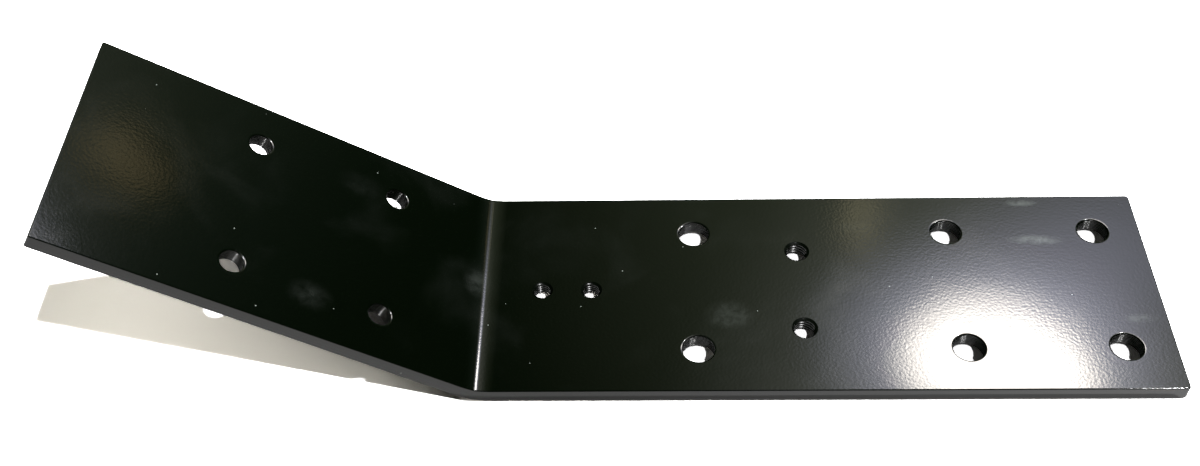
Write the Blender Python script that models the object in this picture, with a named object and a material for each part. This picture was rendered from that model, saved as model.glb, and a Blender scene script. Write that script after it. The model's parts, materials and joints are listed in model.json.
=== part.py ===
"""Reinforcement bracket: one piece of flat steel bar, drilled, tapped and folded once.

The bar is modelled the way it is made. A flat blank gets its rounded corners and broken edges, the
holes are cut square through it, and the finished blank is folded over a round die, so that each hole
keeps its place along the bar. Metres, +Z up. The long leg lies on the XY plane and runs along +X, and
the raised flange climbs to the left of the fold.
"""
import math

import bmesh
import bpy
from mathutils import Vector

# Flat bar, measured over its coat
BAR_WIDTH = 0.100
BAR_THICKNESS = 0.0064
CORNER_RADIUS = 0.0015
EDGE_ROUNDING = 0.0005

# Both lengths start at the line where the upper faces of leg and flange would meet if the fold were sharp
LEG_LENGTH = 0.2725
FLANGE_LENGTH = 0.1695

# Fold
FOLD_ANGLE = math.radians(33.0)
FOLD_INNER_RADIUS = 0.024

# Plain bolt holes in the leg: one pair measured from the sharp fold line, and two set out from the free end
LEG_HOLE_DIAMETER = 0.0127
LEG_HOLE_SPACING = 0.060
LEG_FIRST_PAIR = 0.0865
LEG_LAST_PAIR_FROM_END = 0.0195
LEG_LAST_PAIRS_APART = 0.061

# Tapped pair beyond the first plain pair, bored to the thread's inner diameter
TAPPED_PAIR_BORE = 0.0085
TAPPED_PAIR_MOUTH = 0.0104
TAPPED_PAIR_SPACING = 0.040
TAPPED_PAIR_DISTANCE = 0.129

# Two smaller tapped holes on the middle line, close to the fold
CENTRE_TAPPED_BORE = 0.0068
CENTRE_TAPPED_MOUTH = 0.0090
CENTRE_TAPPED_NEAR = 0.024
CENTRE_TAPPED_FAR = 0.044

# Plain bolt holes in the flange, two pairs
FLANGE_HOLE_DIAMETER = 0.0094
FLANGE_HOLE_SPACING = 0.060
FLANGE_LOWER_PAIR = 0.0425
FLANGE_UPPER_PAIR = 0.1015

# How much wider than its bore a plain hole's rounded mouth is, on each side
PLAIN_RIM = 0.0005

# How finely round shapes are divided
HOLE_SIDES = 48
FOLD_STEPS = 20
CORNER_STEPS = 4
EDGE_STEPS = 2
RIM_STEPS = 2

# How far a cutter reaches past the bar's faces, and how near two points count as one
CUTTER_REACH = 0.001
SAME_PLACE = 0.000001

ALONG = (1.0, 0.0, 0.0)
ACROSS = (0.0, 1.0, 0.0)

COAT_COLOUR = (0.011, 0.012, 0.010, 1.0)
COAT_ROUGHNESS = 0.18
COAT_METALLIC = 0.0


def fold_setback():
    """Distance from the sharp fold line to where the flat faces begin."""
    return FOLD_INNER_RADIUS * math.tan(FOLD_ANGLE / 2)


def half_fold_length():
    """Half the length of bar that the fold takes up, along the middle of its thickness."""
    return (FOLD_INNER_RADIUS + BAR_THICKNESS / 2) * FOLD_ANGLE / 2


def on_blank(distance):
    """Place along the flat blank, from the fold's middle, of a point that far from the sharp fold line."""
    return distance - fold_setback() + half_fold_length()


def clear_scene():
    """Removes the objects that are in the scene."""
    for obj in list(bpy.data.objects):
        bpy.data.objects.remove(obj, do_unlink=True)


def add_object(name, bm):
    """Turns a bmesh into a named object in the scene."""
    mesh = bpy.data.meshes.new(name)
    bm.to_mesh(mesh)
    bm.free()
    obj = bpy.data.objects.new(name, mesh)
    bpy.context.scene.collection.objects.link(obj)
    return obj


def edge_rounding():
    """The edge rounding, which never takes more than a quarter of the bar's thickness."""
    return min(EDGE_ROUNDING, BAR_THICKNESS / 4)


def upright(edge):
    """True for an edge that runs through the thickness of the flat blank."""
    start, end = (vertex.co for vertex in edge.verts)
    return abs(start.z - end.z) > BAR_THICKNESS / 2


def at_rim(edge):
    """True for an edge between a broad face of the flat blank and its side."""
    ups = sorted(abs(face.normal.z) for face in edge.link_faces)
    return ups[0] < 0.5 < ups[1]


def pair_across(spacing):
    """Where the two holes of a pair lie across the bar."""
    return (-spacing / 2, spacing / 2)


def hole_plan():
    """Every hole: its place along and across the flat blank, its bore, its mouth, and if that is rounded."""
    leg_mouth = LEG_HOLE_DIAMETER + 2 * PLAIN_RIM
    flange_mouth = FLANGE_HOLE_DIAMETER + 2 * PLAIN_RIM
    last_pair = LEG_LENGTH - LEG_LAST_PAIR_FROM_END
    plan = []
    for distance in (LEG_FIRST_PAIR, last_pair - LEG_LAST_PAIRS_APART, last_pair):
        for across in pair_across(LEG_HOLE_SPACING):
            plan.append((on_blank(distance), across, LEG_HOLE_DIAMETER, leg_mouth, True))
    for across in pair_across(TAPPED_PAIR_SPACING):
        plan.append((on_blank(TAPPED_PAIR_DISTANCE), across, TAPPED_PAIR_BORE, TAPPED_PAIR_MOUTH, False))
    for distance in (CENTRE_TAPPED_NEAR, CENTRE_TAPPED_FAR):
        plan.append((on_blank(distance), 0.0, CENTRE_TAPPED_BORE, CENTRE_TAPPED_MOUTH, False))
    for distance in (FLANGE_LOWER_PAIR, FLANGE_UPPER_PAIR):
        for across in pair_across(FLANGE_HOLE_SPACING):
            plan.append((-on_blank(distance), across, FLANGE_HOLE_DIAMETER, flange_mouth, True))
    return plan


def divide(bm, place, direction):
    """Adds a line of edges round the flat blank where a plane through a place crosses it."""
    bmesh.ops.bisect_plane(
        bm,
        geom=bm.verts[:] + bm.edges[:] + bm.faces[:],
        dist=SAME_PLACE,
        plane_co=place,
        plane_no=direction,
    )


def round_edges(bm, edges, radius, steps):
    """Rounds some edges with an arc of that radius."""
    bmesh.ops.bevel(bm, geom=edges, offset=radius, segments=steps, profile=0.5, affect="EDGES")


def make_blank():
    """The flat blank, with rounded corners, broken edges and a line of edges through each hole's middle."""
    left = -on_blank(FLANGE_LENGTH)
    right = on_blank(LEG_LENGTH)
    bm = bmesh.new()
    bmesh.ops.create_cube(bm, size=1.0)
    bmesh.ops.scale(bm, vec=Vector((right - left, BAR_WIDTH, BAR_THICKNESS)), verts=bm.verts)
    middle = Vector(((left + right) / 2, 0.0, BAR_THICKNESS / 2))
    bmesh.ops.translate(bm, vec=middle, verts=bm.verts)
    round_edges(bm, [edge for edge in bm.edges if upright(edge)], CORNER_RADIUS, CORNER_STEPS)
    bm.normal_update()
    round_edges(bm, [edge for edge in bm.edges if at_rim(edge)], edge_rounding(), EDGE_STEPS)
    for along in sorted({hole[0] for hole in hole_plan()}):
        divide(bm, (along, 0.0, 0.0), ALONG)
    for across in sorted({hole[1] for hole in hole_plan()}):
        divide(bm, (0.0, across, 0.0), ACROSS)
    return add_object("blank", bm)


def rim_steps(size, rounded):
    """A mouth's profile from above the face down to the bore, as steps of how far out and how deep."""
    if not rounded:
        return [(size + CUTTER_REACH, -CUTTER_REACH), (0.0, size)]
    steps = [(size, -CUTTER_REACH)]
    for step in range(RIM_STEPS + 1):
        turn = math.pi / 2 * step / RIM_STEPS
        steps.append((size * (1 - math.sin(turn)), size * (1 - math.cos(turn))))
    return steps


def add_hole(bm, along, across, bore, mouth, rounded):
    """Adds one hole to the cutter: a turned bore with both mouths rounded, or countersunk at 45 degrees."""
    radius = bore / 2
    rim = rim_steps(min(mouth / 2 - radius, BAR_THICKNESS / 3), rounded)
    under = [(radius + out, deep) for out, deep in rim]
    over = [(radius + out, BAR_THICKNESS - deep) for out, deep in reversed(rim)]
    profile = [(0.0, -CUTTER_REACH)] + under + over + [(0.0, BAR_THICKNESS + CUTTER_REACH)]
    points = [bm.verts.new((along + out, across, up)) for out, up in profile]
    lines = [bm.edges.new(pair) for pair in zip(points, points[1:])]
    bmesh.ops.spin(
        bm,
        geom=points + lines,
        cent=(along, across, 0.0),
        axis=(0.0, 0.0, 1.0),
        angle=2 * math.pi,
        steps=HOLE_SIDES,
        use_merge=True,
    )


def make_drill():
    """One cutter with every hole of the bracket, laid out on the flat blank."""
    bm = bmesh.new()
    for hole in hole_plan():
        add_hole(bm, *hole)
    bmesh.ops.remove_doubles(bm, verts=bm.verts, dist=SAME_PLACE)
    bmesh.ops.recalc_face_normals(bm, faces=bm.faces)
    return add_object("drill", bm)


def drilled(blank, drill):
    """The blank with the drill's holes cut through it. Both objects are used up."""
    cut = blank.modifiers.new("holes", "BOOLEAN")
    cut.operation = "DIFFERENCE"
    cut.object = drill
    bpy.context.view_layer.update()
    evaluated = blank.evaluated_get(bpy.context.evaluated_depsgraph_get())
    bm = bmesh.new()
    bm.from_mesh(evaluated.to_mesh())
    evaluated.to_mesh_clear()
    bpy.data.objects.remove(blank, do_unlink=True)
    bpy.data.objects.remove(drill, do_unlink=True)
    return bm


def divide_fold(bm):
    """Cuts lines across the flat bar where the fold will turn, so that it can be rounded."""
    half = half_fold_length()
    for step in range(FOLD_STEPS + 1):
        divide(bm, (-half + 2 * half * step / FOLD_STEPS, 0.0, 0.0), ALONG)


def folded(point):
    """Where a point of the flat blank lies once the bar is folded."""
    half = half_fold_length()
    below_top = BAR_THICKNESS - point.z
    if point.x >= half:
        return Vector((point.x - half + fold_setback(), point.y, point.z))
    turn = min((half - point.x) / (2 * half), 1.0) * FOLD_ANGLE
    radius = FOLD_INNER_RADIUS + below_top
    past_fold = max(-half - point.x, 0.0)
    return Vector((
        fold_setback() - radius * math.sin(turn) - past_fold * math.cos(turn),
        point.y,
        BAR_THICKNESS + FOLD_INNER_RADIUS - radius * math.cos(turn) + past_fold * math.sin(turn),
    ))


def fold_bar(bm):
    """Folds the drilled blank, and moves it so that the first bolt pair's middle is the origin."""
    to_origin = Vector((-LEG_FIRST_PAIR, 0.0, 0.0))
    for vertex in bm.verts:
        vertex.co = folded(vertex.co) + to_origin


def coat_material():
    """Glossy black paint over the whole bar."""
    material = bpy.data.materials.new("black_coat")
    material.use_nodes = True
    shader = material.node_tree.nodes["Principled BSDF"]
    shader.inputs["Base Color"].default_value = COAT_COLOUR
    shader.inputs["Roughness"].default_value = COAT_ROUGHNESS
    shader.inputs["Metallic"].default_value = COAT_METALLIC
    material.diffuse_color = COAT_COLOUR
    return material


def make_bracket():
    """The bracket plate: blank, holes, fold and paint."""
    bm = drilled(make_blank(), make_drill())
    divide_fold(bm)
    fold_bar(bm)
    plate = add_object("bracket_plate", bm)
    plate.data.materials.clear()
    plate.data.materials.append(coat_material())
    plate.data.shade_smooth()
    plate.data.set_sharp_from_angle(angle=math.radians(30.0))
    return plate


clear_scene()
make_bracket()
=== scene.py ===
"""Looks of the reinforcement bracket: a folded flat bar in glossy black coat, on a white studio floor.

The bar is modelled the way the real one is made: a bar with rounded corners and broken edges is folded
once, drilled, and tapped in four holes with a right-hand thread. It replaces the plain solid of the frame
and keeps its place and size. Metres, +Z up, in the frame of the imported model.
"""
import json
import math

import bmesh
import bpy
from mathutils import Matrix, Vector


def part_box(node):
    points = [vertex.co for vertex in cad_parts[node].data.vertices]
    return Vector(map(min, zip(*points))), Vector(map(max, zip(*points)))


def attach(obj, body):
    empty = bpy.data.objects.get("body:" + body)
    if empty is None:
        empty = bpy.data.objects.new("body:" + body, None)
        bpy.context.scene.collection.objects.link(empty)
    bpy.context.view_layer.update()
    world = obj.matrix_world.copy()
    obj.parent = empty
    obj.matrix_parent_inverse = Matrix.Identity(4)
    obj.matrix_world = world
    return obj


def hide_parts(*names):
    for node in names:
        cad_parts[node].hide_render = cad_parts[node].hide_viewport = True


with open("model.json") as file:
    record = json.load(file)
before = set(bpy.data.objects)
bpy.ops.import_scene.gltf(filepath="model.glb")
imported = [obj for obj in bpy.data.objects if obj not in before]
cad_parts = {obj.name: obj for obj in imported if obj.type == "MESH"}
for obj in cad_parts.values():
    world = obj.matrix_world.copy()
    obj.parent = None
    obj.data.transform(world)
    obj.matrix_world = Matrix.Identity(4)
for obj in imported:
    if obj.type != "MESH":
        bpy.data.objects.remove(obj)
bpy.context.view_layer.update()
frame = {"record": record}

bl_info = {
    "name": "Reinforcement Bracket",
    "version": (1, 0, 0),
    "blender": (4, 5, 0),
    "location": "View3D > Sidebar > Bracket",
    "description": "Models a folded, drilled and tapped flat bar in glossy black coat, with its white studio",
    "category": "Object",
}

# Places and directions that the frame gives
NODE = "bracket_plate"
BODY = "root"
LOW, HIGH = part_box(NODE)
MOUNTS = {mount["name"]: mount for mount in frame["record"]["mounts"]}
BAR_WIDTH = HIGH.y - LOW.y
BAR_THICKNESS = MOUNTS["leg_top"]["pos_m"][2] - MOUNTS["leg_underside"]["pos_m"][2]
LEG_UP = Vector((0.0, 0.0, 1.0))
ACROSS = Vector((0.0, 1.0, 0.0))
FLANGE_UP = Vector(MOUNTS["flange_top"]["axis"]).normalized()
FLANGE_OUT = FLANGE_UP.cross(ACROSS)
FOLD_ANGLE = LEG_UP.angle(FLANGE_UP)
FLANGE_POINT = Vector(MOUNTS["flange_top"]["pos_m"])
FOLD_LINE = FLANGE_POINT.x + (FLANGE_POINT.z - BAR_THICKNESS) * FLANGE_UP.z / FLANGE_UP.x

# How the picture is framed, which only the camera needs
PHOTO_WIDTH = 1200
SENSOR_WIDTH = 36.0

# How close counts as the same place, how far cutters reach past the bar, and how close welded places lie
SAME_PLACE = 0.00002
REACH = 0.001
WELD = 0.000001

# How well a face points one way to be picked there, how little a groove's face lies flat, and how little a
# hole's wall faces along the hole
POINTS_ALONG = 0.9
POINTS_OUT = 0.999
NOT_FLAT = 0.99
SQUARE = 0.1

# From which angle an edge is rounded, up to which angle faces are shaded as one round, and how much the large
# flat faces count in their shading
SHARP = math.radians(60.0)
SMOOTH = math.radians(35.0)
FLAT_WEIGHT = 90

# Steps of the rounded corners, edges and rims
LEG_CORNER_STEPS = 6
FLANGE_CORNER_STEPS = 5
EDGE_STEPS = 4
RIM_STEPS = 6

# Shape of the holes' rims, where the coat rolls off gently before the edge: 0.5 would be a quarter circle
FAT_EDGE = 0.78

# Threads: the radius of the three-sided ridge in pitches, how much the ridge is stretched, which sets the
# slant of its flanks, where it starts, and its steps in one turn
RIDGE = 0.5
THREAD_WIDENING = 1.12
THREAD_START = math.radians(1.8)
THREAD_STEPS = 48

# Names of the marks on the thread grooves and on the walls of the plain holes
THREAD_MARK = "thread"
DRILL_MARK = "drilled"

# Dust: how far apart its cells lie, how wide a grain reaches, which share of the cells has one, and how firm
# the grains are
DUST_SPACING = 0.006
DUST_GRAIN = 0.00026
DUST_SHARE = 0.24
DUST_FIRMNESS = 2.5

# Haze over the whole coat: its size and cover, how strong its film is, and how much it dulls the gloss
HAZE_SIZE = 0.035
HAZE_COVER = 0.52
HAZE_FILM = 0.02
HAZE_DULLNESS = 0.10

# Wisps that the rubbed patches are made of
WISP_SIZE = 0.004
WISP_COVER = 0.90

# Rubbed patches of the coat: how far past the fold line, how far across, half widths, and strength
PATCHES = (
    (-0.0706, -0.0327, (0.009, 0.008), 0.050),
    (-0.0591, 0.0295, (0.010, 0.008), 0.018),
    (-0.0034, 0.0024, (0.006, 0.009), 0.090),
    (0.0997, -0.0134, (0.012, 0.009), 0.130),
    (0.1540, 0.0330, (0.010, 0.004), 0.040),
    (0.2282, 0.0252, (0.014, 0.0035), 0.500),
    (0.2260, 0.0461, (0.009, 0.0025), 0.400),
    (0.2613, -0.0161, (0.010, 0.003), 0.250),
)

# How far up and down a rubbed patch reaches, which is past both faces of the bar
ANY_HEIGHT = 1.0


class BracketSizes(bpy.types.PropertyGroup):
    """Sizes of the bar that the frame doesn't give"""

    flange_length: bpy.props.FloatProperty(
        name="Flange length",
        description="From the sharp fold line of the upper faces to the flange's end",
        default=0.1695,
        unit="LENGTH",
    )
    fold_radius: bpy.props.FloatProperty(
        name="Fold radius",
        description="Radius of the fold's upper side in its tight middle",
        default=0.008,
        unit="LENGTH",
    )
    fold_run_in: bpy.props.FloatProperty(
        name="Fold run-in radius",
        description="Radius of the fold's upper side before and after its middle",
        default=0.0394,
        unit="LENGTH",
    )
    fold_middle: bpy.props.FloatProperty(
        name="Fold middle",
        description="How much of the fold's angle its tight middle takes",
        default=math.radians(16.0),
        unit="ROTATION",
        subtype="ANGLE",
    )
    leg_corner: bpy.props.FloatProperty(
        name="Leg corner",
        description="Radius of the two corners at the leg's end",
        default=0.0015,
        unit="LENGTH",
    )
    flange_corner: bpy.props.FloatProperty(
        name="Flange corner",
        description="Radius of the two corners at the flange's end",
        default=0.0009,
        unit="LENGTH",
    )
    edge_rounding: bpy.props.FloatProperty(
        name="Edge rounding",
        description="Rounding of the bar's long edges and ends",
        default=0.0005,
        unit="LENGTH",
    )
    leg_bore: bpy.props.FloatProperty(
        name="Leg bore",
        description="Width of the plain holes in the leg",
        default=0.0127,
        unit="LENGTH",
    )
    flange_bore: bpy.props.FloatProperty(
        name="Flange bore",
        description="Width of the plain holes in the flange",
        default=0.0094,
        unit="LENGTH",
    )
    rim_rounding: bpy.props.FloatProperty(
        name="Rim rounding",
        description="Rounding of the plain holes' rims",
        default=0.0009,
        unit="LENGTH",
    )
    wide_thread: bpy.props.FloatProperty(
        name="Wide thread",
        description="Outer width of the thread in the pair of tapped holes",
        default=0.010,
        unit="LENGTH",
    )
    wide_pitch: bpy.props.FloatProperty(
        name="Wide pitch",
        description="Rise of the wide thread in one turn",
        default=0.0015,
        unit="LENGTH",
    )
    fine_thread: bpy.props.FloatProperty(
        name="Fine thread",
        description="Outer width of the thread in the two tapped holes on the middle line",
        default=0.008,
        unit="LENGTH",
    )
    fine_pitch: bpy.props.FloatProperty(
        name="Fine pitch",
        description="Rise of the fine thread in one turn",
        default=0.00125,
        unit="LENGTH",
    )
    countersink: bpy.props.FloatProperty(
        name="Countersink",
        description="Width and depth of the slanted mouth round a tapped hole's bore",
        default=0.00095,
        unit="LENGTH",
    )
    hole_sides: bpy.props.IntProperty(
        name="Hole sides",
        description="How many flat faces stand for the round wall of a hole",
        default=96,
        min=24,
    )
    fold_steps: bpy.props.IntProperty(
        name="Fold steps",
        description="How many flat faces stand for each of the fold's three rounds",
        default=16,
        min=4,
    )


class CoatLook(bpy.types.PropertyGroup):
    """Colours and finish of the coat and of the dust on it"""

    colour: bpy.props.FloatVectorProperty(
        name="Coat",
        description="Colour of the black coat",
        subtype="COLOR",
        size=4,
        min=0.0,
        max=1.0,
        default=(0.0006, 0.0013, 0.0005, 1.0),
    )
    dust: bpy.props.FloatVectorProperty(
        name="Dust",
        description="Colour of the dust and rubbed marks on the coat",
        subtype="COLOR",
        size=4,
        min=0.0,
        max=1.0,
        default=(0.58, 0.66, 0.60, 1.0),
    )
    roughness: bpy.props.FloatProperty(
        name="Roughness",
        description="Roughness of the clean coat",
        default=0.08,
        min=0.0,
        max=1.0,
    )
    wall_roughness: bpy.props.FloatProperty(
        name="Wall roughness",
        description="Roughness that the walls of the plain holes have beyond the coat's own",
        default=0.08,
        min=0.0,
        max=1.0,
    )
    thread_roughness: bpy.props.FloatProperty(
        name="Thread roughness",
        description="How much rougher the threads are than the clean coat",
        default=0.18,
        min=0.0,
        max=1.0,
    )
    drill_step: bpy.props.FloatProperty(
        name="Drill mark step",
        description="Distance between the drill marks on the walls of the plain holes",
        default=0.0008,
        precision=5,
        unit="LENGTH",
    )
    drill_depth: bpy.props.FloatProperty(
        name="Drill mark depth",
        description="Height of the drill marks on the walls of the plain holes",
        default=0.00024,
        precision=6,
        unit="LENGTH",
    )
    peel_size: bpy.props.FloatProperty(
        name="Orange peel size",
        description="Distance between the small waves of the coat",
        default=0.0011,
        unit="LENGTH",
    )
    peel_height: bpy.props.FloatProperty(
        name="Orange peel height",
        description="Height of the small waves of the coat",
        default=0.000013,
        precision=7,
        unit="LENGTH",
    )


class StudioLook(bpy.types.PropertyGroup):
    """Light and floor of the studio"""

    floor: bpy.props.FloatVectorProperty(
        name="Floor",
        description="Colour of the floor",
        subtype="COLOR",
        size=4,
        min=0.0,
        max=1.0,
        default=(0.80, 0.80, 0.80, 1.0),
    )
    floor_shown: bpy.props.FloatProperty(
        name="Floor as shown",
        description="How many times paler the floor shows to the camera",
        default=6.6,
        min=0.0,
    )
    floor_in_gloss: bpy.props.FloatProperty(
        name="Floor in gloss",
        description="How many times paler the floor shows in the gloss of the coat",
        default=1.3,
        min=0.0,
    )
    lamp: bpy.props.FloatProperty(
        name="Lamp",
        description="Strength of each of the two far lamps",
        default=1.53,
        min=0.0,
    )
    soft_lamp: bpy.props.FloatProperty(
        name="Soft lamp",
        description="Power of the soft lamp in front",
        default=0.022,
        min=0.0,
    )
    room: bpy.props.FloatVectorProperty(
        name="Room",
        description="Soft light from all round",
        subtype="COLOR",
        size=4,
        min=0.0,
        max=1.0,
        default=(0.098, 0.092, 0.084, 1.0),
    )


def make_active(piece):
    """Leaves edit mode and makes one object the only selected one."""
    if bpy.context.object and bpy.context.object.mode != "OBJECT":
        bpy.ops.object.mode_set(mode="OBJECT")
    bpy.ops.object.select_all(action="DESELECT")
    piece.select_set(True)
    bpy.context.view_layer.objects.active = piece


def clear_selection():
    """Leaves edit mode with nothing selected."""
    if bpy.context.object and bpy.context.object.mode != "OBJECT":
        bpy.ops.object.mode_set(mode="OBJECT")
    bpy.ops.object.select_all(action="DESELECT")


def pick(piece, mode, wanted):
    """In edit mode, selects only the vertices, edges or faces for which wanted is true."""
    bpy.ops.mesh.select_mode(type=mode)
    bpy.ops.mesh.select_all(action="DESELECT")
    bm = bmesh.from_edit_mesh(piece.data)
    bm.normal_update()
    for part in {"VERT": bm.verts, "EDGE": bm.edges, "FACE": bm.faces}[mode]:
        if wanted(part):
            part.select_set(True)
    bm.select_flush_mode()
    bmesh.update_edit_mesh(piece.data)


def apply_modifier(piece, modifier):
    """Applies one modifier to its piece."""
    make_active(piece)
    bpy.ops.object.modifier_apply(modifier=modifier.name)


def cut(piece, cutter, solver="EXACT"):
    """Cuts a piece with a cutter, which is used up."""
    boolean = piece.modifiers.new("cut", "BOOLEAN")
    boolean.operation = "DIFFERENCE"
    boolean.solver = solver
    boolean.object = cutter
    apply_modifier(piece, boolean)
    bpy.data.objects.remove(cutter, do_unlink=True)


def on_top(along, across):
    """A place on the upper face and the face's own direction, from how far it lies past the fold line."""
    if along >= 0.0:
        return Vector((FOLD_LINE + along, across, BAR_THICKNESS)), LEG_UP
    return Vector((FOLD_LINE, across, BAR_THICKNESS)) - FLANGE_OUT * along, FLANGE_UP


def hole_list(sizes):
    """Every hole as its middle, its axis, its bore, and its thread's outer width and pitch, or none."""
    kinds = {
        "leg_hole": (LEG_UP, sizes.leg_bore, None, None),
        "flange_hole": (FLANGE_UP, sizes.flange_bore, None, None),
        "tapped_pair": (LEG_UP, sizes.wide_thread - sizes.wide_pitch, sizes.wide_thread, sizes.wide_pitch),
        "centre_tapped": (LEG_UP, sizes.fine_thread - sizes.fine_pitch, sizes.fine_thread, sizes.fine_pitch),
    }
    found = []
    for opening in frame["record"]["physics"]["openings"]:
        low, high = (Vector(corner) for corner in opening["box_m"])
        for kind, facts in kinds.items():
            if opening["name"].startswith(kind):
                found.append(((low + high) / 2, *facts))
    return found


def fold_rounds(sizes):
    """The radius and angle of each round of the fold, in order from the leg to the flange."""
    side = (FOLD_ANGLE - sizes.fold_middle) / 2
    return ((sizes.fold_run_in, side), (sizes.fold_radius, sizes.fold_middle), (sizes.fold_run_in, side))


def fold_setback(sizes):
    """How far from the sharp fold line the fold starts, on the leg and on the flange alike."""
    side = (FOLD_ANGLE - sizes.fold_middle) / 2
    half = FOLD_ANGLE / 2
    along = sizes.fold_run_in * math.sin(side) + sizes.fold_radius * (math.sin(half) - math.sin(side))
    rise = sizes.fold_run_in * (1 - math.cos(side)) + sizes.fold_radius * (math.cos(side) - math.cos(half))
    return along + rise * math.tan(half)


def bar_with_fold(sizes):
    """A bar for the leg's flat, whose end face is turned round the fold and then drawn out as the flange."""
    setback = fold_setback(sizes)
    fold_start = FOLD_LINE + setback
    length = HIGH.x - fold_start
    bpy.ops.mesh.primitive_cube_add(
        size=1.0,
        location=(fold_start + length / 2, 0.0, BAR_THICKNESS / 2),
        scale=(length, BAR_WIDTH, BAR_THICKNESS),
    )
    bar = bpy.context.object
    bar.name = "coated_bar"
    bpy.ops.object.transform_apply(location=True, rotation=True, scale=True)
    bpy.ops.object.mode_set(mode="EDIT")
    pick(bar, "FACE", lambda face: face.normal.x < -POINTS_ALONG)
    upper_edge = Vector((fold_start, 0.0, BAR_THICKNESS))
    up = LEG_UP
    for radius, angle in fold_rounds(sizes):
        middle = upper_edge + up * radius
        bpy.ops.mesh.spin(steps=sizes.fold_steps, angle=-angle, center=middle, axis=ACROSS)
        up = Matrix.Rotation(angle, 3, "Y") @ up
        upper_edge = middle - up * radius
    pick(bar, "FACE", lambda face: face.normal.dot(FLANGE_OUT) > POINTS_OUT)
    reach = FLANGE_OUT * (sizes.flange_length - setback)
    bpy.ops.mesh.extrude_region_move(TRANSFORM_OT_translate={"value": reach})
    bpy.ops.object.mode_set(mode="OBJECT")
    return bar


def round_corners(bar, sizes):
    """Rounds the bar's four corners, and then every long edge and end edge."""
    bpy.ops.object.mode_set(mode="EDIT")

    def at_leg_end(edge):
        return all(vertex.co.x > HIGH.x - SAME_PLACE for vertex in edge.verts) and upright(edge)

    def at_flange_end(edge):
        far = FLANGE_OUT * sizes.flange_length + Vector((FOLD_LINE, 0.0, BAR_THICKNESS))
        gaps = [abs((vertex.co - far).dot(FLANGE_OUT)) for vertex in edge.verts]
        return max(gaps) < SAME_PLACE and upright(edge)

    def upright(edge):
        return abs(edge.verts[0].co.y - edge.verts[1].co.y) < SAME_PLACE

    pick(bar, "EDGE", at_leg_end)
    bpy.ops.mesh.bevel(offset=sizes.leg_corner, segments=LEG_CORNER_STEPS, affect="EDGES")
    pick(bar, "EDGE", at_flange_end)
    bpy.ops.mesh.bevel(offset=sizes.flange_corner, segments=FLANGE_CORNER_STEPS, affect="EDGES")
    bpy.ops.mesh.select_all(action="DESELECT")
    bpy.ops.mesh.edges_select_sharp(sharpness=SHARP)
    bpy.ops.mesh.bevel(offset=sizes.edge_rounding, segments=EDGE_STEPS, affect="EDGES")
    bpy.ops.object.mode_set(mode="OBJECT")


def divide(bar, holes):
    """Adds lines of edges round the bar through every hole's middle, so that no face has a hole inside it."""
    bpy.ops.object.mode_set(mode="EDIT")
    planes = {(round(middle.y, 5), 0.0, 0.0): (middle, ACROSS) for middle, *_ in holes}
    for middle, axis, *_ in holes:
        planes[(round(middle.x, 5), round(middle.z, 5), 1.0)] = (middle, axis.cross(ACROSS))
    for place, direction in planes.values():
        bpy.ops.mesh.select_all(action="SELECT")
        bpy.ops.mesh.bisect(plane_co=place, plane_no=direction, threshold=SAME_PLACE / 10)
    bpy.ops.object.mode_set(mode="OBJECT")


def drill(middle, axis, bore, mouth, sizes):
    """A round cutter for one hole, which widens past both faces of the bar where the hole is countersunk."""
    straight = BAR_THICKNESS + 2 * REACH if mouth is None else BAR_THICKNESS - (mouth - bore)
    bpy.ops.mesh.primitive_cylinder_add(vertices=sizes.hole_sides, radius=bore / 2, depth=straight)
    cutter = bpy.context.object
    if mouth:
        flare = (mouth - bore) / 2 + REACH
        wider = (bore / 2 + flare) / (bore / 2)
        bpy.ops.object.mode_set(mode="EDIT")
        for side in (1, -1):
            pick(cutter, "FACE", lambda face: face.normal.z * side > POINTS_ALONG)
            shift = LEG_UP * side * flare
            bpy.ops.mesh.extrude_region_move(TRANSFORM_OT_translate={"value": shift})
            end = LEG_UP * side * (straight / 2 + flare)
            bpy.ops.transform.resize(value=(wider, wider, 1.0), center_override=end)
        bpy.ops.object.mode_set(mode="OBJECT")
    cutter.location = middle
    cutter.rotation_euler = LEG_UP.rotation_difference(axis).to_euler()
    return cutter


def join(objects):
    """Joins several objects into the first one."""
    make_active(objects[0])
    for each in objects[1:]:
        each.select_set(True)
    bpy.ops.object.join()
    return objects[0]


def round_rims(bar, holes, sizes):
    """Rounds the rims of the plain holes."""
    bpy.ops.object.mode_set(mode="EDIT")

    def rim_of(middle, axis, bore):
        def on_rim(edge):
            offsets = [vertex.co - middle for vertex in edge.verts]
            out = [(offset - axis * offset.dot(axis)).length for offset in offsets]
            return edge.calc_face_angle(0.0) > SHARP and all(abs(far - bore / 2) < SAME_PLACE for far in out)
        return on_rim

    for middle, axis, bore, thread, _ in holes:
        if not thread:
            pick(bar, "EDGE", rim_of(middle, axis, bore))
            bpy.ops.mesh.bevel(
                offset=sizes.rim_rounding,
                segments=RIM_STEPS,
                profile=FAT_EDGE,
                affect="EDGES",
            )
    bpy.ops.object.mode_set(mode="OBJECT")


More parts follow.
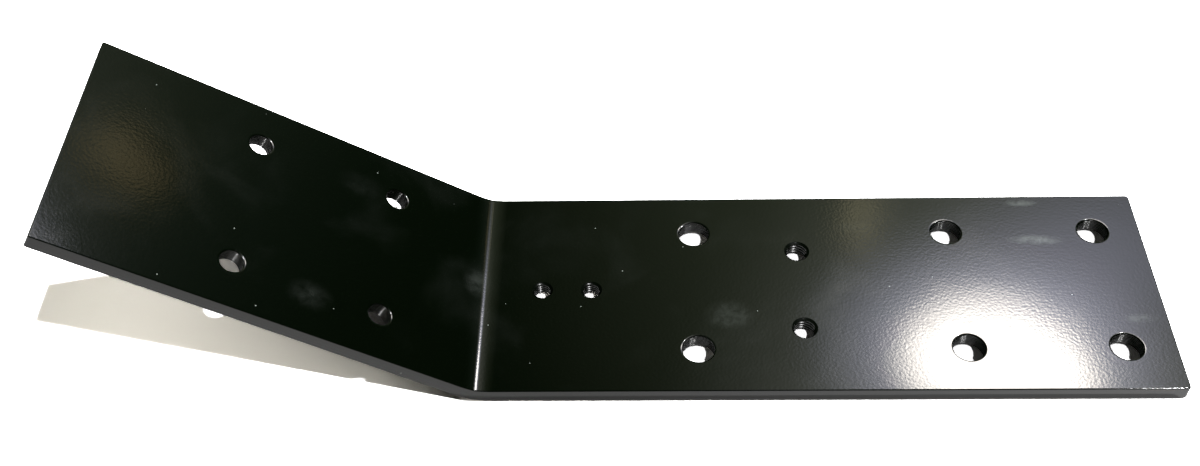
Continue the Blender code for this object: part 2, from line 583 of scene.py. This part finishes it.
def tap(middle, thread, pitch, sizes):
    """A three-sided ridge that climbs round a hole as a right-hand thread, to cut its groove."""
    ridge = pitch * RIDGE
    bpy.ops.mesh.primitive_circle_add(
        vertices=3,
        radius=ridge,
        location=(thread / 2 - ridge, 0.0, -BAR_THICKNESS - pitch),
        rotation=(math.pi / 2, math.pi / 2, 0.0),
    )
    cutter = bpy.context.object
    cutter.scale.x = THREAD_WIDENING
    bpy.ops.object.transform_apply(location=True, rotation=True, scale=True)
    turns = math.ceil(2 * BAR_THICKNESS / pitch) + 2
    climb = cutter.modifiers.new("climb", "SCREW")
    climb.axis = "Z"
    climb.angle = 2 * math.pi
    climb.screw_offset = pitch
    climb.iterations = turns
    climb.steps = THREAD_STEPS
    climb.render_steps = THREAD_STEPS
    climb.use_merge_vertices = False
    apply_modifier(cutter, climb)
    bpy.ops.object.mode_set(mode="EDIT")
    bpy.ops.mesh.select_all(action="SELECT")
    bpy.ops.mesh.remove_doubles(threshold=WELD)
    bpy.ops.mesh.select_mode(type="EDGE")
    bpy.ops.mesh.select_all(action="DESELECT")
    bpy.ops.mesh.select_non_manifold(extend=False)
    bpy.ops.mesh.fill_holes(sides=0)
    bpy.ops.mesh.select_all(action="SELECT")
    bpy.ops.mesh.normals_make_consistent(inside=False)
    bpy.ops.object.mode_set(mode="OBJECT")
    cutter.location = middle
    cutter.rotation_euler = (0.0, 0.0, THREAD_START)
    return cutter


def mark_threads(bar, holes):
    """Marks the faces of the thread grooves, for the material to show them rougher."""
    marks = bar.data.attributes.new(THREAD_MARK, "FLOAT", "FACE")
    tapped = [(middle, bore) for middle, _, bore, thread, _ in holes if thread]
    for face in bar.data.polygons:
        for middle, bore in tapped:
            offset = face.center - middle
            far = math.hypot(offset.x, offset.y)
            if bore / 2 + SAME_PLACE < far < bore and abs(face.normal.z) < NOT_FLAT:
                marks.data[face.index].value = 1.0


def mark_drilled(bar, holes):
    """Marks the walls of the plain holes with their hole's axis, for the material to show drill marks."""
    marks = bar.data.attributes.new(DRILL_MARK, "FLOAT_VECTOR", "FACE")
    plain = [(middle, axis, bore) for middle, axis, bore, thread, _ in holes if not thread]
    for face in bar.data.polygons:
        for middle, axis, bore in plain:
            offset = face.center - middle
            far = (offset - axis * offset.dot(axis)).length
            if far < bore / 2 + SAME_PLACE and abs(face.normal.dot(axis)) < SQUARE:
                marks.data[face.index].vector = axis


def finish_shading(piece):
    """Smooth rounds, crisp rims, and flat faces that stay flat beside their roundings."""
    make_active(piece)
    bpy.ops.object.shade_smooth_by_angle(angle=SMOOTH)
    weighted = piece.modifiers.new("flat faces", "WEIGHTED_NORMAL")
    weighted.keep_sharp = True
    weighted.weight = FLAT_WEIGHT
    apply_modifier(piece, weighted)


def add_node(tree, kind, sockets=None, **settings):
    """Adds a shader node. Sockets maps an input's name or number to a value or to an output to link."""
    node = tree.nodes.new(kind)
    for name, value in settings.items():
        setattr(node, name, value)
    for key, value in (sockets or {}).items():
        if isinstance(value, bpy.types.NodeSocket):
            tree.links.new(value, node.inputs[key])
        else:
            node.inputs[key].default_value = value
    return node


def maths(tree, operation, *values, **settings):
    """Adds a maths node for numbers and returns its result."""
    node = add_node(tree, "ShaderNodeMath", dict(enumerate(values)), operation=operation, **settings)
    return node.outputs[0]


def vector_maths(tree, operation, *values):
    """Adds a maths node for vectors and returns its result, which is a number for a length or a product."""
    node = add_node(tree, "ShaderNodeVectorMath", dict(enumerate(values)), operation=operation)
    return node.outputs["Value" if operation in ("LENGTH", "DISTANCE", "DOT_PRODUCT") else "Vector"]


def ramp(tree, value, start, end, low=0.0, high=1.0, **settings):
    """Adds a ramp from low to high, as a value goes from start to end, and returns its result."""
    sockets = {"Value": value, "From Min": start, "From Max": end, "To Min": low, "To Max": high}
    return add_node(tree, "ShaderNodeMapRange", sockets, **settings).outputs[0]


def new_group(name, inputs, outputs):
    """Starts a shader group whose inputs are (name, type, default) and whose outputs are (name, type)."""
    tree = bpy.data.node_groups.new(name, "ShaderNodeTree")
    for title, kind, default in inputs:
        socket = tree.interface.new_socket(title, in_out="INPUT", socket_type=kind)
        if default is not None:
            socket.default_value = default
    for title, kind in outputs:
        tree.interface.new_socket(title, in_out="OUTPUT", socket_type=kind)
    return tree, tree.nodes.new("NodeGroupInput"), tree.nodes.new("NodeGroupOutput")


def use_group(tree, group, sockets):
    """Places a shader group in a material with its own values."""
    return add_node(tree, "ShaderNodeGroup", sockets, node_tree=group)


def orange_peel_group():
    """Small even waves, as sprayed coat has."""
    tree, given, result = new_group(
        "Orange peel",
        [("Vector", "NodeSocketVector", None), ("Size", "NodeSocketFloat", 0.0017)],
        [("Height", "NodeSocketFloat")],
    )
    per_metre = maths(tree, "DIVIDE", 1.0, given.outputs["Size"])
    waves = add_node(
        tree,
        "ShaderNodeTexNoise",
        {"Vector": given.outputs["Vector"], "Scale": per_metre, "Detail": 1.5, "Roughness": 0.45},
    )
    tree.links.new(waves.outputs["Fac"], result.inputs["Height"])
    return tree


def dust_group():
    """Single grains of dust: round dots in some of the cells of a loose pattern."""
    tree, given, result = new_group(
        "Dust grains",
        [
            ("Vector", "NodeSocketVector", None),
            ("Spacing", "NodeSocketFloat", 0.01),
            ("Grain", "NodeSocketFloat", 0.0002),
            ("Share", "NodeSocketFloat", 0.2),
        ],
        [("Mask", "NodeSocketFloat")],
    )
    per_metre = maths(tree, "DIVIDE", 1.0, given.outputs["Spacing"])
    cells = add_node(
        tree,
        "ShaderNodeTexVoronoi",
        {"Vector": given.outputs["Vector"], "Scale": per_metre, "Randomness": 1.0},
    )
    reach = maths(tree, "MULTIPLY", given.outputs["Grain"], per_metre)
    dot = ramp(tree, cells.outputs["Distance"], reach, 0.0, 0.0, DUST_FIRMNESS)
    channels = add_node(tree, "ShaderNodeSeparateColor", {"Color": cells.outputs["Color"]})
    chosen = maths(tree, "LESS_THAN", channels.outputs[0], given.outputs["Share"])
    tree.links.new(maths(tree, "MULTIPLY", dot, chosen), result.inputs["Mask"])
    return tree


def haze_group():
    """Soft patches where hands and dust have dulled the coat."""
    tree, given, result = new_group(
        "Haze",
        [
            ("Vector", "NodeSocketVector", None),
            ("Size", "NodeSocketFloat", 0.03),
            ("Cover", "NodeSocketFloat", 0.4),
        ],
        [("Mask", "NodeSocketFloat")],
    )
    per_metre = maths(tree, "DIVIDE", 1.0, given.outputs["Size"])
    cloud = add_node(
        tree,
        "ShaderNodeTexNoise",
        {"Vector": given.outputs["Vector"], "Scale": per_metre, "Detail": 4.0, "Distortion": 0.4},
    )
    least = maths(tree, "SUBTRACT", 1.0, given.outputs["Cover"])
    mask = ramp(tree, cloud.outputs["Fac"], least, 1.0, interpolation_type="SMOOTHSTEP")
    tree.links.new(mask, result.inputs["Mask"])
    return tree


def drill_marks_group():
    """Fine rings round a hole's wall, at even steps along its axis."""
    tree, given, result = new_group(
        "Drill marks",
        [
            ("Vector", "NodeSocketVector", None),
            ("Axis", "NodeSocketVector", (0.0, 0.0, 1.0)),
            ("Step", "NodeSocketFloat", 0.001),
        ],
        [("Height", "NodeSocketFloat")],
    )
    depth = vector_maths(tree, "DOT_PRODUCT", given.outputs["Vector"], given.outputs["Axis"])
    steps = maths(tree, "DIVIDE", depth, given.outputs["Step"])
    turned = maths(tree, "MULTIPLY", steps, 2 * math.pi)
    tree.links.new(maths(tree, "SINE", turned), result.inputs["Height"])
    return tree


def patch_group():
    """One soft oval patch of film round a place, added to the film before it."""
    tree, given, result = new_group(
        "Soft patch",
        [
            ("Vector", "NodeSocketVector", None),
            ("Middle", "NodeSocketVector", (0.0, 0.0, 0.0)),
            ("Reach", "NodeSocketVector", (0.01, 0.01, 0.1)),
            ("Film", "NodeSocketFloat", 0.02),
            ("Before", "NodeSocketFloat", 0.0),
        ],
        [("Film", "NodeSocketFloat")],
    )
    offset = vector_maths(tree, "SUBTRACT", given.outputs["Vector"], given.outputs["Middle"])
    scaled = vector_maths(tree, "DIVIDE", offset, given.outputs["Reach"])
    far = vector_maths(tree, "LENGTH", scaled)
    mask = ramp(tree, far, 1.0, 0.0, interpolation_type="SMOOTHSTEP")
    added = maths(tree, "MULTIPLY_ADD", mask, given.outputs["Film"], given.outputs["Before"])
    tree.links.new(added, result.inputs["Film"])
    return tree


def rubbed_film(tree, groups, place):
    """The film of the rubbed patches, in wisps."""
    film = None
    for along, across, reach, strength in PATCHES:
        middle = on_top(along, across)[0]
        facts = {"Vector": place, "Middle": middle, "Reach": (*reach, ANY_HEIGHT), "Film": strength}
        if film:
            facts["Before"] = film
        film = use_group(tree, groups["patch"], facts).outputs["Film"]
    wisps = use_group(tree, groups["haze"], {"Vector": place, "Size": WISP_SIZE, "Cover": WISP_COVER})
    return maths(tree, "MULTIPLY", film, wisps.outputs["Mask"])


def coat_material(look, groups):
    """Glossy black coat with orange peel, dust and dull patches, rougher in its threads and drilled holes."""
    material = bpy.data.materials.new("black_coat_gloss")
    material.use_nodes = True
    tree = material.node_tree
    shader = tree.nodes["Principled BSDF"]
    place = tree.nodes.new("ShaderNodeTexCoord").outputs["Object"]
    peel = use_group(tree, groups["peel"], {"Vector": place, "Size": look.peel_size})
    dust = use_group(
        tree,
        groups["dust"],
        {"Vector": place, "Spacing": DUST_SPACING, "Grain": DUST_GRAIN, "Share": DUST_SHARE},
    )
    haze = use_group(tree, groups["haze"], {"Vector": place, "Size": HAZE_SIZE, "Cover": HAZE_COVER})
    film = maths(tree, "MULTIPLY_ADD", haze.outputs["Mask"], HAZE_FILM, rubbed_film(tree, groups, place))
    shown = maths(tree, "ADD", film, dust.outputs["Mask"])
    colour = add_node(
        tree,
        "ShaderNodeMix",
        {"Factor": shown, "A": look.colour, "B": look.dust},
        data_type="RGBA",
    )
    tree.links.new(colour.outputs["Result"], shader.inputs["Base Color"])
    thread = add_node(tree, "ShaderNodeAttribute", attribute_name=THREAD_MARK)
    axis = add_node(tree, "ShaderNodeAttribute", attribute_name=DRILL_MARK)
    wall = vector_maths(tree, "LENGTH", axis.outputs["Vector"])
    dull = maths(tree, "MULTIPLY_ADD", haze.outputs["Mask"], HAZE_DULLNESS, look.roughness)
    drilled = maths(tree, "MULTIPLY_ADD", wall, look.wall_roughness, dull)
    rough = maths(tree, "MULTIPLY_ADD", thread.outputs["Fac"], look.thread_roughness, drilled)
    tree.links.new(rough, shader.inputs["Roughness"])
    bump = add_node(
        tree,
        "ShaderNodeBump",
        {"Strength": 1.0, "Distance": look.peel_height, "Height": peel.outputs["Height"]},
    )
    rings = use_group(
        tree,
        groups["drill"],
        {"Vector": place, "Axis": axis.outputs["Vector"], "Step": look.drill_step},
    )
    marked = add_node(
        tree,
        "ShaderNodeBump",
        {
            "Strength": 1.0,
            "Distance": look.drill_depth,
            "Height": rings.outputs["Height"],
            "Normal": bump.outputs["Normal"],
        },
    )
    tree.links.new(marked.outputs["Normal"], shader.inputs["Normal"])
    return material


class BRACKET_OT_coated_bar(bpy.types.Operator):
    """Models the folded, drilled and tapped bar with its black coat"""

    bl_idname = "bracket.coated_bar"
    bl_label = "Coated bar"

    def execute(self, context):
        sizes = context.scene.bracket_sizes
        clear_selection()
        bar = bar_with_fold(sizes)
        round_corners(bar, sizes)
        holes = hole_list(sizes)
        divide(bar, holes)
        drills = []
        for middle, axis, bore, thread, _ in holes:
            mouth = bore + 2 * sizes.countersink if thread else None
            drills.append(drill(middle, axis, bore, mouth, sizes))
        cut(bar, join(drills))
        for middle, _, _, thread, pitch in holes:
            if thread:
                cut(bar, tap(middle, thread, pitch, sizes), "MANIFOLD")
        make_active(bar)
        round_rims(bar, holes, sizes)
        mark_threads(bar, holes)
        mark_drilled(bar, holes)
        finish_shading(bar)
        groups = {
            "peel": orange_peel_group(),
            "dust": dust_group(),
            "haze": haze_group(),
            "patch": patch_group(),
            "drill": drill_marks_group(),
        }
        bar.data.materials.clear()
        bar.data.materials.append(coat_material(context.scene.bracket_coat, groups))
        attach(bar, BODY)
        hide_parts(NODE)
        return {"FINISHED"}


# Camera: where it stands, how it is turned, and its focal length in pixels of the picture's width
CAMERA_PLACE = Vector((-0.0232233, -0.3486759, 0.4368967))
CAMERA_DOWN = math.radians(48.5728)
CAMERA_TURN = math.radians(2.4428)
CAMERA_ROLL = math.radians(-2.266)
CAMERA_FOCAL_PIXELS = 1358.51

# Nearest distance that the camera sees
CAMERA_NEAR = 0.01

# Floor: its size, and how far it lies below the bar
FLOOR_SIZE = 12.0
FLOOR_GAP = 0.0011

# Painted shade: the floor's colour is darkened under the flange, as the camera sees it. The painted shade
# deepens where little sky is seen, begins and is full at these values of X, and deepens once more towards the
# fold
SKY_REACH = 0.1
SKY_SAMPLES = 8
SHADE_LEAST = -0.40
SHADE_GAIN = 2.0
SHADE_FROM = -0.080
SHADE_FULL = -0.095
FOLD_SHADE_FROM = -0.124
FOLD_SHADE = 0.22

# Line that bounds this painted shade on both sides of the bar: how much it moves outwards with X, and how far
# from the bar's middle line it would lie at X = 0
SHADE_LINE_SLOPE = 0.234
SHADE_LINE = 0.0705

# Painted shade on the floor under the leg's holes: how far from the middle line and up to which X it
# reaches, and how much of its light is shown
UNDER_HOLES = 0.042
UNDER_HOLES_END = 0.180
LEG_HOLE_SHADE = 0.45

# Painted light: the floor in front, as the leg's front edge mirrors it, is paler towards the right: how much
# more light it gives at the right, and between which values of X that grows
RIGHT_FLOOR_GAIN = 1.5
RIGHT_FLOOR_FROM = -0.05
RIGHT_FLOOR_FULL = 0.25

# Soft light: it comes from low down, and is dim overhead. Heights are the z of a direction
LOW_SKY = 0.45
HIGH_SKY = 0.80
OVERHEAD = 0.1

# A soft lamp in front that lights the floor under the flange
SOFT_LAMP_AIM = Vector((-0.190, -0.015, 0.0))
SOFT_LAMP_WAY = Vector((0.0, -0.65, 0.76))
SOFT_LAMP_DISTANCE = 0.8
SOFT_LAMP_COLOUR = (1.0, 0.943, 0.810)
SOFT_LAMP_SIZE = (0.20, 0.13)
SOFT_LAMP_SPREAD = math.radians(24.0)

# Lamps far away in front and behind, to the right, and the bright one whose reflection lies on the leg: a
# core that fades out between two radii, in a halo that reaches the lamp's nearest side
LAMP_WAYS = {"front_lamp": Vector((0.365, -0.374, 0.852)), "back_lamp": Vector((0.369, 0.355, 0.859))}
LAMP_SPREAD = math.radians(0.9)
GLARE_PLACE = (0.201, -0.042)
GLARE_DISTANCE = 2.0
GLARE_SIZE = (0.78, 0.54)
GLARE_LIGHT = (30.0, 27.5, 23.0)
GLARE_CORE = (0.32, 0.52)
HALO_MIDDLE = (0.03, 0.0, 0.0)
HALO_LIGHT = (6.5, 6.7, 8.8)

# What the coat mirrors beside the lamps: the middle and half width of each oval glow, as the x and y of a
# direction, and its light
GLOWS = (
    ((0.200, 0.710), (0.370, 0.400), (0.40, 0.45, 0.30)),
    ((0.270, 0.390), (0.300, 0.400), (2.63, 2.63, 2.47)),
    ((0.300, 0.600), (0.140, 0.090), (1.60, 1.60, 2.40)),
    ((0.450, 0.662), (0.026, 0.016), (1.50, 1.15, 0.55)),
    ((0.474, 0.652), (0.028, 0.012), (1.50, 1.10, 0.50)),
    ((0.463, 0.495), (0.184, 0.400), (0.09, 0.12, 0.10)),
    ((0.161, 0.662), (0.020, 0.032), (2.20, 1.90, 1.10)),
)
DARK_ROOM = (0.020, 0.045, 0.015)


def mirrored(along, across):
    """Direction in which the camera sees the room mirrored in a place of the upper face."""
    place, up = on_top(along, across)
    back = (CAMERA_PLACE - place).normalized()
    return 2 * up.dot(back) * up - back


def painted_floor_shade(tree, along):
    """Painted shade in the floor's colour: the share of its light that the floor shows, less under the flange
    and in the leg's holes.
    """
    aside = maths(tree, "ABSOLUTE", along.outputs["Y"])
    # Painted shade: the floor is darkened where little open sky is found, and more towards the fold
    sky = add_node(tree, "ShaderNodeAmbientOcclusion", {"Distance": SKY_REACH}, samples=SKY_SAMPLES)
    shade = maths(tree, "MULTIPLY_ADD", sky.outputs["AO"], SHADE_GAIN, SHADE_LEAST, use_clamp=True)
    by_fold = ramp(tree, along.outputs["X"], FOLD_SHADE_FROM, SHADE_FULL, 1.0, FOLD_SHADE)
    under_flange = maths(tree, "MULTIPLY", shade, by_fold)
    past_fold = ramp(tree, along.outputs["X"], SHADE_FULL, SHADE_FROM)
    # Painted shade: the floor under the leg's rows of holes shows less of its light
    in_rows = maths(tree, "LESS_THAN", aside, UNDER_HOLES)
    short_of_end = maths(tree, "LESS_THAN", along.outputs["X"], UNDER_HOLES_END)
    under_leg = maths(tree, "MULTIPLY", in_rows, short_of_end)
    in_holes = ramp(tree, under_leg, 0.0, 1.0, 1.0, LEG_HOLE_SHADE)
    by_leg = maths(tree, "MULTIPLY", past_fold, in_holes)
    # The painted shade stops at the line of the flange's cast shadow, and the floor outside it shows all its
    # light
    slanted = maths(tree, "MULTIPLY_ADD", along.outputs["X"], -SHADE_LINE_SLOPE, aside)
    outside = maths(tree, "GREATER_THAN", slanted, SHADE_LINE)
    kept = maths(tree, "MAXIMUM", under_flange, by_leg)
    return maths(tree, "MAXIMUM", kept, outside)


def make_floor(look):
    """A wide pale floor just under the bar, which the camera sees as white as the photograph's."""
    bpy.ops.mesh.primitive_plane_add(size=FLOOR_SIZE, location=(0.0, 0.0, -FLOOR_GAP))
    floor = bpy.context.object
    floor.name = "floor"
    bpy.ops.object.transform_apply(location=True, rotation=True, scale=True)
    material = bpy.data.materials.new("pale_floor")
    material.use_nodes = True
    tree = material.node_tree
    tree.nodes.clear()
    path = tree.nodes.new("ShaderNodeLightPath")
    place = tree.nodes.new("ShaderNodeTexCoord").outputs["Object"]
    along = add_node(tree, "ShaderNodeSeparateXYZ", {"Vector": place})
    shown = maths(tree, "MULTIPLY", painted_floor_shade(tree, along), look.floor_shown)
    seen = maths(tree, "MAXIMUM", path.outputs["Is Camera Ray"], path.outputs["Is Transmission Ray"])
    # Painted light: the floor in front shows paler in the gloss towards the right
    painted_light_to_right = ramp(tree, along.outputs["X"], RIGHT_FLOOR_FROM, RIGHT_FLOOR_FULL, 0.0, RIGHT_FLOOR_GAIN)
    in_front = maths(tree, "LESS_THAN", along.outputs["Y"], LOW.y)
    gain = maths(tree, "MULTIPLY_ADD", painted_light_to_right, in_front, look.floor_in_gloss)
    in_gloss = add_node(
        tree,
        "ShaderNodeMix",
        {"Factor": path.outputs["Is Glossy Ray"], "A": 1.0, "B": gain},
    )
    paler = add_node(
        tree,
        "ShaderNodeMix",
        {"Factor": seen, "A": in_gloss.outputs["Result"], "B": shown},
    )
    colour = add_node(
        tree,
        "ShaderNodeVectorMath",
        {0: list(look.floor)[:3], "Scale": paler.outputs["Result"]},
        operation="SCALE",
    )
    surface = add_node(tree, "ShaderNodeBsdfDiffuse", {"Color": colour.outputs["Vector"]})
    output = add_node(tree, "ShaderNodeOutputMaterial", {"Surface": surface.outputs[0]})
    tree.nodes.active = output
    floor.data.materials.append(material)


def soft_glow_group():
    """A soft oval glow of the room: full light in its middle, and none from its rim outwards."""
    tree, given, result = new_group(
        "Soft glow",
        [
            ("Direction", "NodeSocketVector", None),
            ("Middle", "NodeSocketVector", (0.0, 0.0, 0.0)),
            ("Reach", "NodeSocketVector", (0.1, 0.1, 1.0)),
            ("Light", "NodeSocketVector", (1.0, 1.0, 1.0)),
            ("Before", "NodeSocketVector", (0.0, 0.0, 0.0)),
        ],
        [("Light", "NodeSocketVector")],
    )
    offset = vector_maths(tree, "SUBTRACT", given.outputs["Direction"], given.outputs["Middle"])
    flat = vector_maths(tree, "MULTIPLY", offset, (1.0, 1.0, 0.0))
    scaled = vector_maths(tree, "DIVIDE", flat, given.outputs["Reach"])
    far = vector_maths(tree, "LENGTH", scaled)
    mask = ramp(tree, far, 1.0, 0.0, interpolation_type="SMOOTHSTEP")
    added = vector_maths(tree, "MULTIPLY_ADD", given.outputs["Light"], mask, given.outputs["Before"])
    tree.links.new(added, result.inputs["Light"])
    return tree


def make_room(look):
    """Soft light from all round, a white ground for the camera, and a dim room with glows for the gloss."""
    world = bpy.data.worlds.new("studio")
    bpy.context.scene.world = world
    world.use_nodes = True
    tree = world.node_tree
    tree.nodes.clear()
    direction = tree.nodes.new("ShaderNodeTexCoord").outputs["Generated"]
    mirrored_room = add_node(tree, "ShaderNodeCombineXYZ", dict(enumerate(DARK_ROOM))).outputs[0]
    group = soft_glow_group()
    for middle, reach, light in GLOWS:
        facts = {
            "Direction": direction,
            "Middle": (*middle, 0.0),
            "Reach": (*reach, 1.0),
            "Light": light,
            "Before": mirrored_room,
        }
        mirrored_room = use_group(tree, group, facts).outputs["Light"]
    path = tree.nodes.new("ShaderNodeLightPath")
    height = add_node(tree, "ShaderNodeSeparateXYZ", {"Vector": direction})
    upward = height.outputs["Z"]
    from_low = ramp(tree, upward, LOW_SKY, HIGH_SKY, 1.0, OVERHEAD, interpolation_type="SMOOTHSTEP")
    soft = add_node(tree, "ShaderNodeBackground", {"Color": look.room, "Strength": from_low})
    room = add_node(tree, "ShaderNodeBackground", {"Color": mirrored_room})
    white = add_node(tree, "ShaderNodeBackground", {"Color": (1.0, 1.0, 1.0, 1.0)})
    gloss = add_node(
        tree,
        "ShaderNodeMixShader",
        {0: path.outputs["Is Glossy Ray"], 1: soft.outputs[0], 2: room.outputs[0]},
    )
    seen = maths(tree, "MAXIMUM", path.outputs["Is Camera Ray"], path.outputs["Is Transmission Ray"])
    ground = add_node(tree, "ShaderNodeMixShader", {0: seen, 1: gloss.outputs[0], 2: white.outputs[0]})
    add_node(tree, "ShaderNodeOutputWorld", {"Surface": ground.outputs[0]})


def make_lamps(look):
    """Two far lamps that cast the shadows, a soft one, and the bright one that shows in the gloss."""
    for name, way in LAMP_WAYS.items():
        bpy.ops.object.light_add(type="SUN", rotation=way.to_track_quat("Z", "Y").to_euler())
        lamp = bpy.context.object
        lamp.name = name
        lamp.data.energy = look.lamp
        lamp.data.angle = LAMP_SPREAD
    place = SOFT_LAMP_AIM + SOFT_LAMP_WAY.normalized() * SOFT_LAMP_DISTANCE
    turned = SOFT_LAMP_WAY.to_track_quat("Z", "Y").to_euler()
    bpy.ops.object.light_add(type="AREA", location=place, rotation=turned)
    lamp = bpy.context.object
    lamp.name = "soft_lamp"
    lamp.data.shape = "ELLIPSE"
    lamp.data.size, lamp.data.size_y = SOFT_LAMP_SIZE
    lamp.data.energy = look.soft_lamp
    lamp.data.spread = SOFT_LAMP_SPREAD
    lamp.data.color = SOFT_LAMP_COLOUR
    lamp.visible_glossy = False
    way = mirrored(*GLARE_PLACE)
    place = on_top(*GLARE_PLACE)[0] + way * GLARE_DISTANCE
    bpy.ops.object.light_add(type="AREA", location=place, rotation=way.to_track_quat("Z", "Y").to_euler())
    lamp = bpy.context.object
    lamp.name = "bright_lamp"
    lamp.data.shape = "RECTANGLE"
    lamp.data.size, lamp.data.size_y = GLARE_SIZE
    lamp.data.energy = math.pi * GLARE_SIZE[0] * GLARE_SIZE[1]
    lamp.visible_diffuse = False
    paint_glare(lamp.data)


def paint_glare(lamp):
    """Makes the bright lamp a warm core with soft edges in a wide cool halo."""
    lamp.use_nodes = True
    tree = lamp.node_tree
    across_lamp = tree.nodes.new("ShaderNodeNewGeometry").outputs["Parametric"]
    centred = vector_maths(tree, "MULTIPLY_ADD", across_lamp, (2.0, 2.0, 0.0), (-1.0, -1.0, 0.0))
    far = vector_maths(tree, "LENGTH", centred)
    aside = vector_maths(tree, "DISTANCE", centred, HALO_MIDDLE)
    halo = ramp(tree, aside, 1.0 - abs(HALO_MIDDLE[0]), 0.0, interpolation_type="SMOOTHSTEP")
    core = ramp(tree, far, GLARE_CORE[1], GLARE_CORE[0], interpolation_type="SMOOTHSTEP")
    dim = add_node(
        tree,
        "ShaderNodeVectorMath",
        {0: HALO_LIGHT, "Scale": halo},
        operation="SCALE",
    )
    light = vector_maths(tree, "MULTIPLY_ADD", GLARE_LIGHT, core, dim.outputs["Vector"])
    tree.links.new(light, tree.nodes["Emission"].inputs["Color"])


def make_camera():
    """The camera, where the photograph was taken from."""
    forward = Vector((0.0, math.cos(CAMERA_DOWN), -math.sin(CAMERA_DOWN)))
    turn = Matrix.Rotation(CAMERA_TURN, 3, "Z")
    forward = turn @ forward
    right = turn @ Vector((1.0, 0.0, 0.0))
    roll = Matrix.Rotation(CAMERA_ROLL, 3, -forward)
    right = roll @ right
    up = right.cross(forward)
    turned = Matrix((right, up, -forward)).transposed()
    bpy.ops.object.camera_add(location=CAMERA_PLACE, rotation=turned.to_euler())
    camera = bpy.context.object
    camera.name = "camera"
    camera.data.sensor_width = SENSOR_WIDTH
    camera.data.lens = CAMERA_FOCAL_PIXELS / PHOTO_WIDTH * SENSOR_WIDTH
    camera.data.clip_start = CAMERA_NEAR
    bpy.context.scene.camera = camera


class BRACKET_OT_studio(bpy.types.Operator):
    """Sets up the white floor, the lamps, the room and the camera"""

    bl_idname = "bracket.studio"
    bl_label = "Studio"

    def execute(self, context):
        clear_selection()
        look = context.scene.bracket_studio
        make_floor(look)
        make_room(look)
        make_lamps(look)
        make_camera()
        context.scene.view_settings.view_transform = "Standard"
        return {"FINISHED"}


class BRACKET_PT_panel(bpy.types.Panel):
    """Lists the bracket's operators, sizes and colours"""

    bl_label = "Reinforcement Bracket"
    bl_idname = "BRACKET_PT_panel"
    bl_space_type = "VIEW_3D"
    bl_region_type = "UI"
    bl_category = "Bracket"

    def draw(self, context):
        for group in (context.scene.bracket_sizes, context.scene.bracket_coat, context.scene.bracket_studio):
            column = self.layout.column(align=True)
            for name in group.__annotations__:
                column.prop(group, name)
        for operator in OPERATORS:
            self.layout.operator(operator.bl_idname)


OPERATORS = (BRACKET_OT_coated_bar, BRACKET_OT_studio)
CLASSES = (BracketSizes, CoatLook, StudioLook, *OPERATORS, BRACKET_PT_panel)


def register():
    for each in CLASSES:
        bpy.utils.register_class(each)
    bpy.types.Scene.bracket_sizes = bpy.props.PointerProperty(type=BracketSizes)
    bpy.types.Scene.bracket_coat = bpy.props.PointerProperty(type=CoatLook)
    bpy.types.Scene.bracket_studio = bpy.props.PointerProperty(type=StudioLook)


def unregister():
    del bpy.types.Scene.bracket_studio
    del bpy.types.Scene.bracket_coat
    del bpy.types.Scene.bracket_sizes
    for each in reversed(CLASSES):
        bpy.utils.unregister_class(each)


def main():
    """Makes the pieces and the studio."""
    register()
    bpy.ops.bracket.coated_bar()
    bpy.ops.bracket.studio()


if __name__ == "__main__":
    main()
